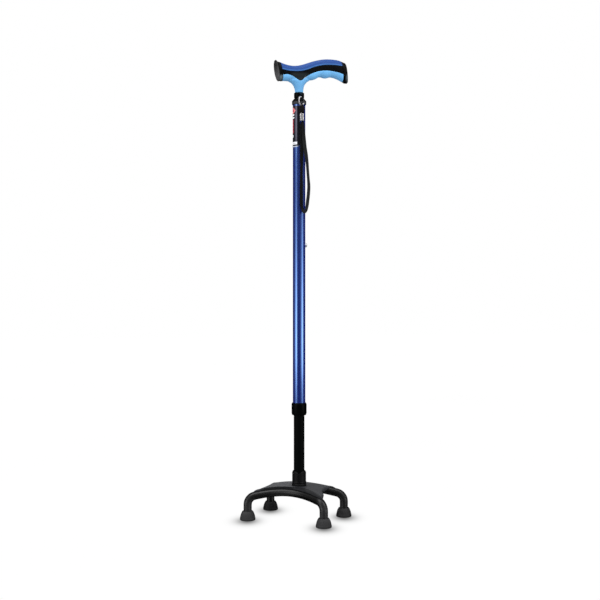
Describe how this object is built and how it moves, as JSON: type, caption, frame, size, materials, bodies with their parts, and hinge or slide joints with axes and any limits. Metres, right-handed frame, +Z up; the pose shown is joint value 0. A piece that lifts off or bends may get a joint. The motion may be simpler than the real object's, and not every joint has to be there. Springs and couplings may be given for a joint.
{
  "type": "quad walking cane",
  "caption": "Height-adjustable walking cane: palm handle on a telescoping tube shaft, standing on a small base of bent-tube legs with rubber tips; a wrist strap hangs from its neck.",
  "frame": {"origin": "on the floor plane, at the middle of the plan bounding box; the shaft's axis stands at x 4.4 mm, y -3.8 mm", "axes": "+Z up along the shaft; +X along the handle towards its rear (palm) end; the handle's nose points to -X; -Y is the side the wrist strap hangs on"},
  "size_m": [0.198, 0.1936, 0.818],
  "materials": {
    "leg_paint": "satin black-grey powder paint",
    "plate_paint": "satin black-grey powder paint",
    "socket_paint": "satin black paint",
    "zinc": "zinc plated",
    "shaft_black": "black anodised, polished",
    "shaft_blue": "deep blue anodised, polished",
    "black_plastic": "moulded, semi-gloss",
    "spring_steel": "bare spring steel",
    "label_film": "printed film, glossy",
    "grip_blue": "soft-touch, fine grain",
    "core_dark": "satin moulding",
    "pad_blue": "soft-touch, fine grain",
    "cap_dark": "semi-gloss moulding",
    "tip_rubber": "matte moulded rubber",
    "ring_chrome": "bright plated",
    "tab_leather": "smooth, dark",
    "strap_web": "woven web"
  },
  "bodies": {
    "base": {"front_leg_tube": "leg_paint", "rear_leg_tube": "leg_paint", "front_left_rubber_tip": "tip_rubber", "front_left_tip_washer": "zinc", "rear_left_rubber_tip": "tip_rubber", "rear_left_tip_washer": "zinc", "front_right_rubber_tip": "tip_rubber", "front_right_tip_washer": "zinc", "rear_right_rubber_tip": "tip_rubber", "rear_right_tip_washer": "zinc", "base_plate": "plate_paint", "shaft_socket": "socket_paint", "base_bolt_washer": "zinc", "base_bolt": "zinc"},
    "lower_shaft": {"lower_tube": "shaft_black", "lower_tube_plug": "zinc", "lower_tube_guide": "black_plastic", "snap_spring": "spring_steel"},
    "snap_button": {"snap_button": "zinc"},
    "upper_shaft": {"upper_tube": "shaft_blue", "collar_bush": "black_plastic", "tube_label": "label_film", "cap_nut": "black_plastic", "stem_bush": "black_plastic", "handle_stem": "zinc", "strap_collar": "black_plastic", "grip_shell": "grip_blue", "handle_core": "core_dark", "palm_pad": "pad_blue", "front_end_cap": "cap_dark", "rear_end_cap": "cap_dark", "handle_bolt": "zinc"},
    "lock_collar": {"lock_collar": "black_plastic"},
    "strap_ring": {"strap_ring": "ring_chrome"},
    "strap": {"strap_tab": "tab_leather", "strap_crimp": "ring_chrome", "wrist_loop": "strap_web"}
  },
  "joints": [
    {"name": "shaft_turn", "type": "hinge", "parent": "base", "child": "lower_shaft", "pos_m": [0.00436, -0.00382, 0.072], "axis": [0, 0, 1], "continuous": true},
    {"name": "height_slide", "type": "slide", "parent": "lower_shaft", "child": "upper_shaft", "axis": [0, 0, 1], "range_m": [-0.075, 0.075]},
    {"name": "button_press", "type": "slide", "parent": "lower_shaft", "child": "snap_button", "axis": [-1, 0, 0], "range_m": [0, 0.0048], "stiffness_N_per_m": 400, "springref_m": -0.002, "deforming": ["snap_spring"]},
    {"name": "collar_twist", "type": "hinge", "parent": "upper_shaft", "child": "lock_collar", "pos_m": [0.00436, -0.00382, 0.195], "axis": [0, 0, 1], "range_deg": [0, 270]},
    {"name": "ring_swing", "type": "hinge", "parent": "upper_shaft", "child": "strap_ring", "pos_m": [0.00276, -0.02302, 0.7453], "axis": [-0.7071, -0.7071, 0], "range_deg": [0, 80]},
    {"name": "strap_swing", "type": "hinge", "parent": "strap_ring", "child": "strap", "pos_m": [0.00276, -0.02302, 0.7301], "axis": [-0.7071, -0.7071, 0], "range_deg": [0, 60]}
  ]
}
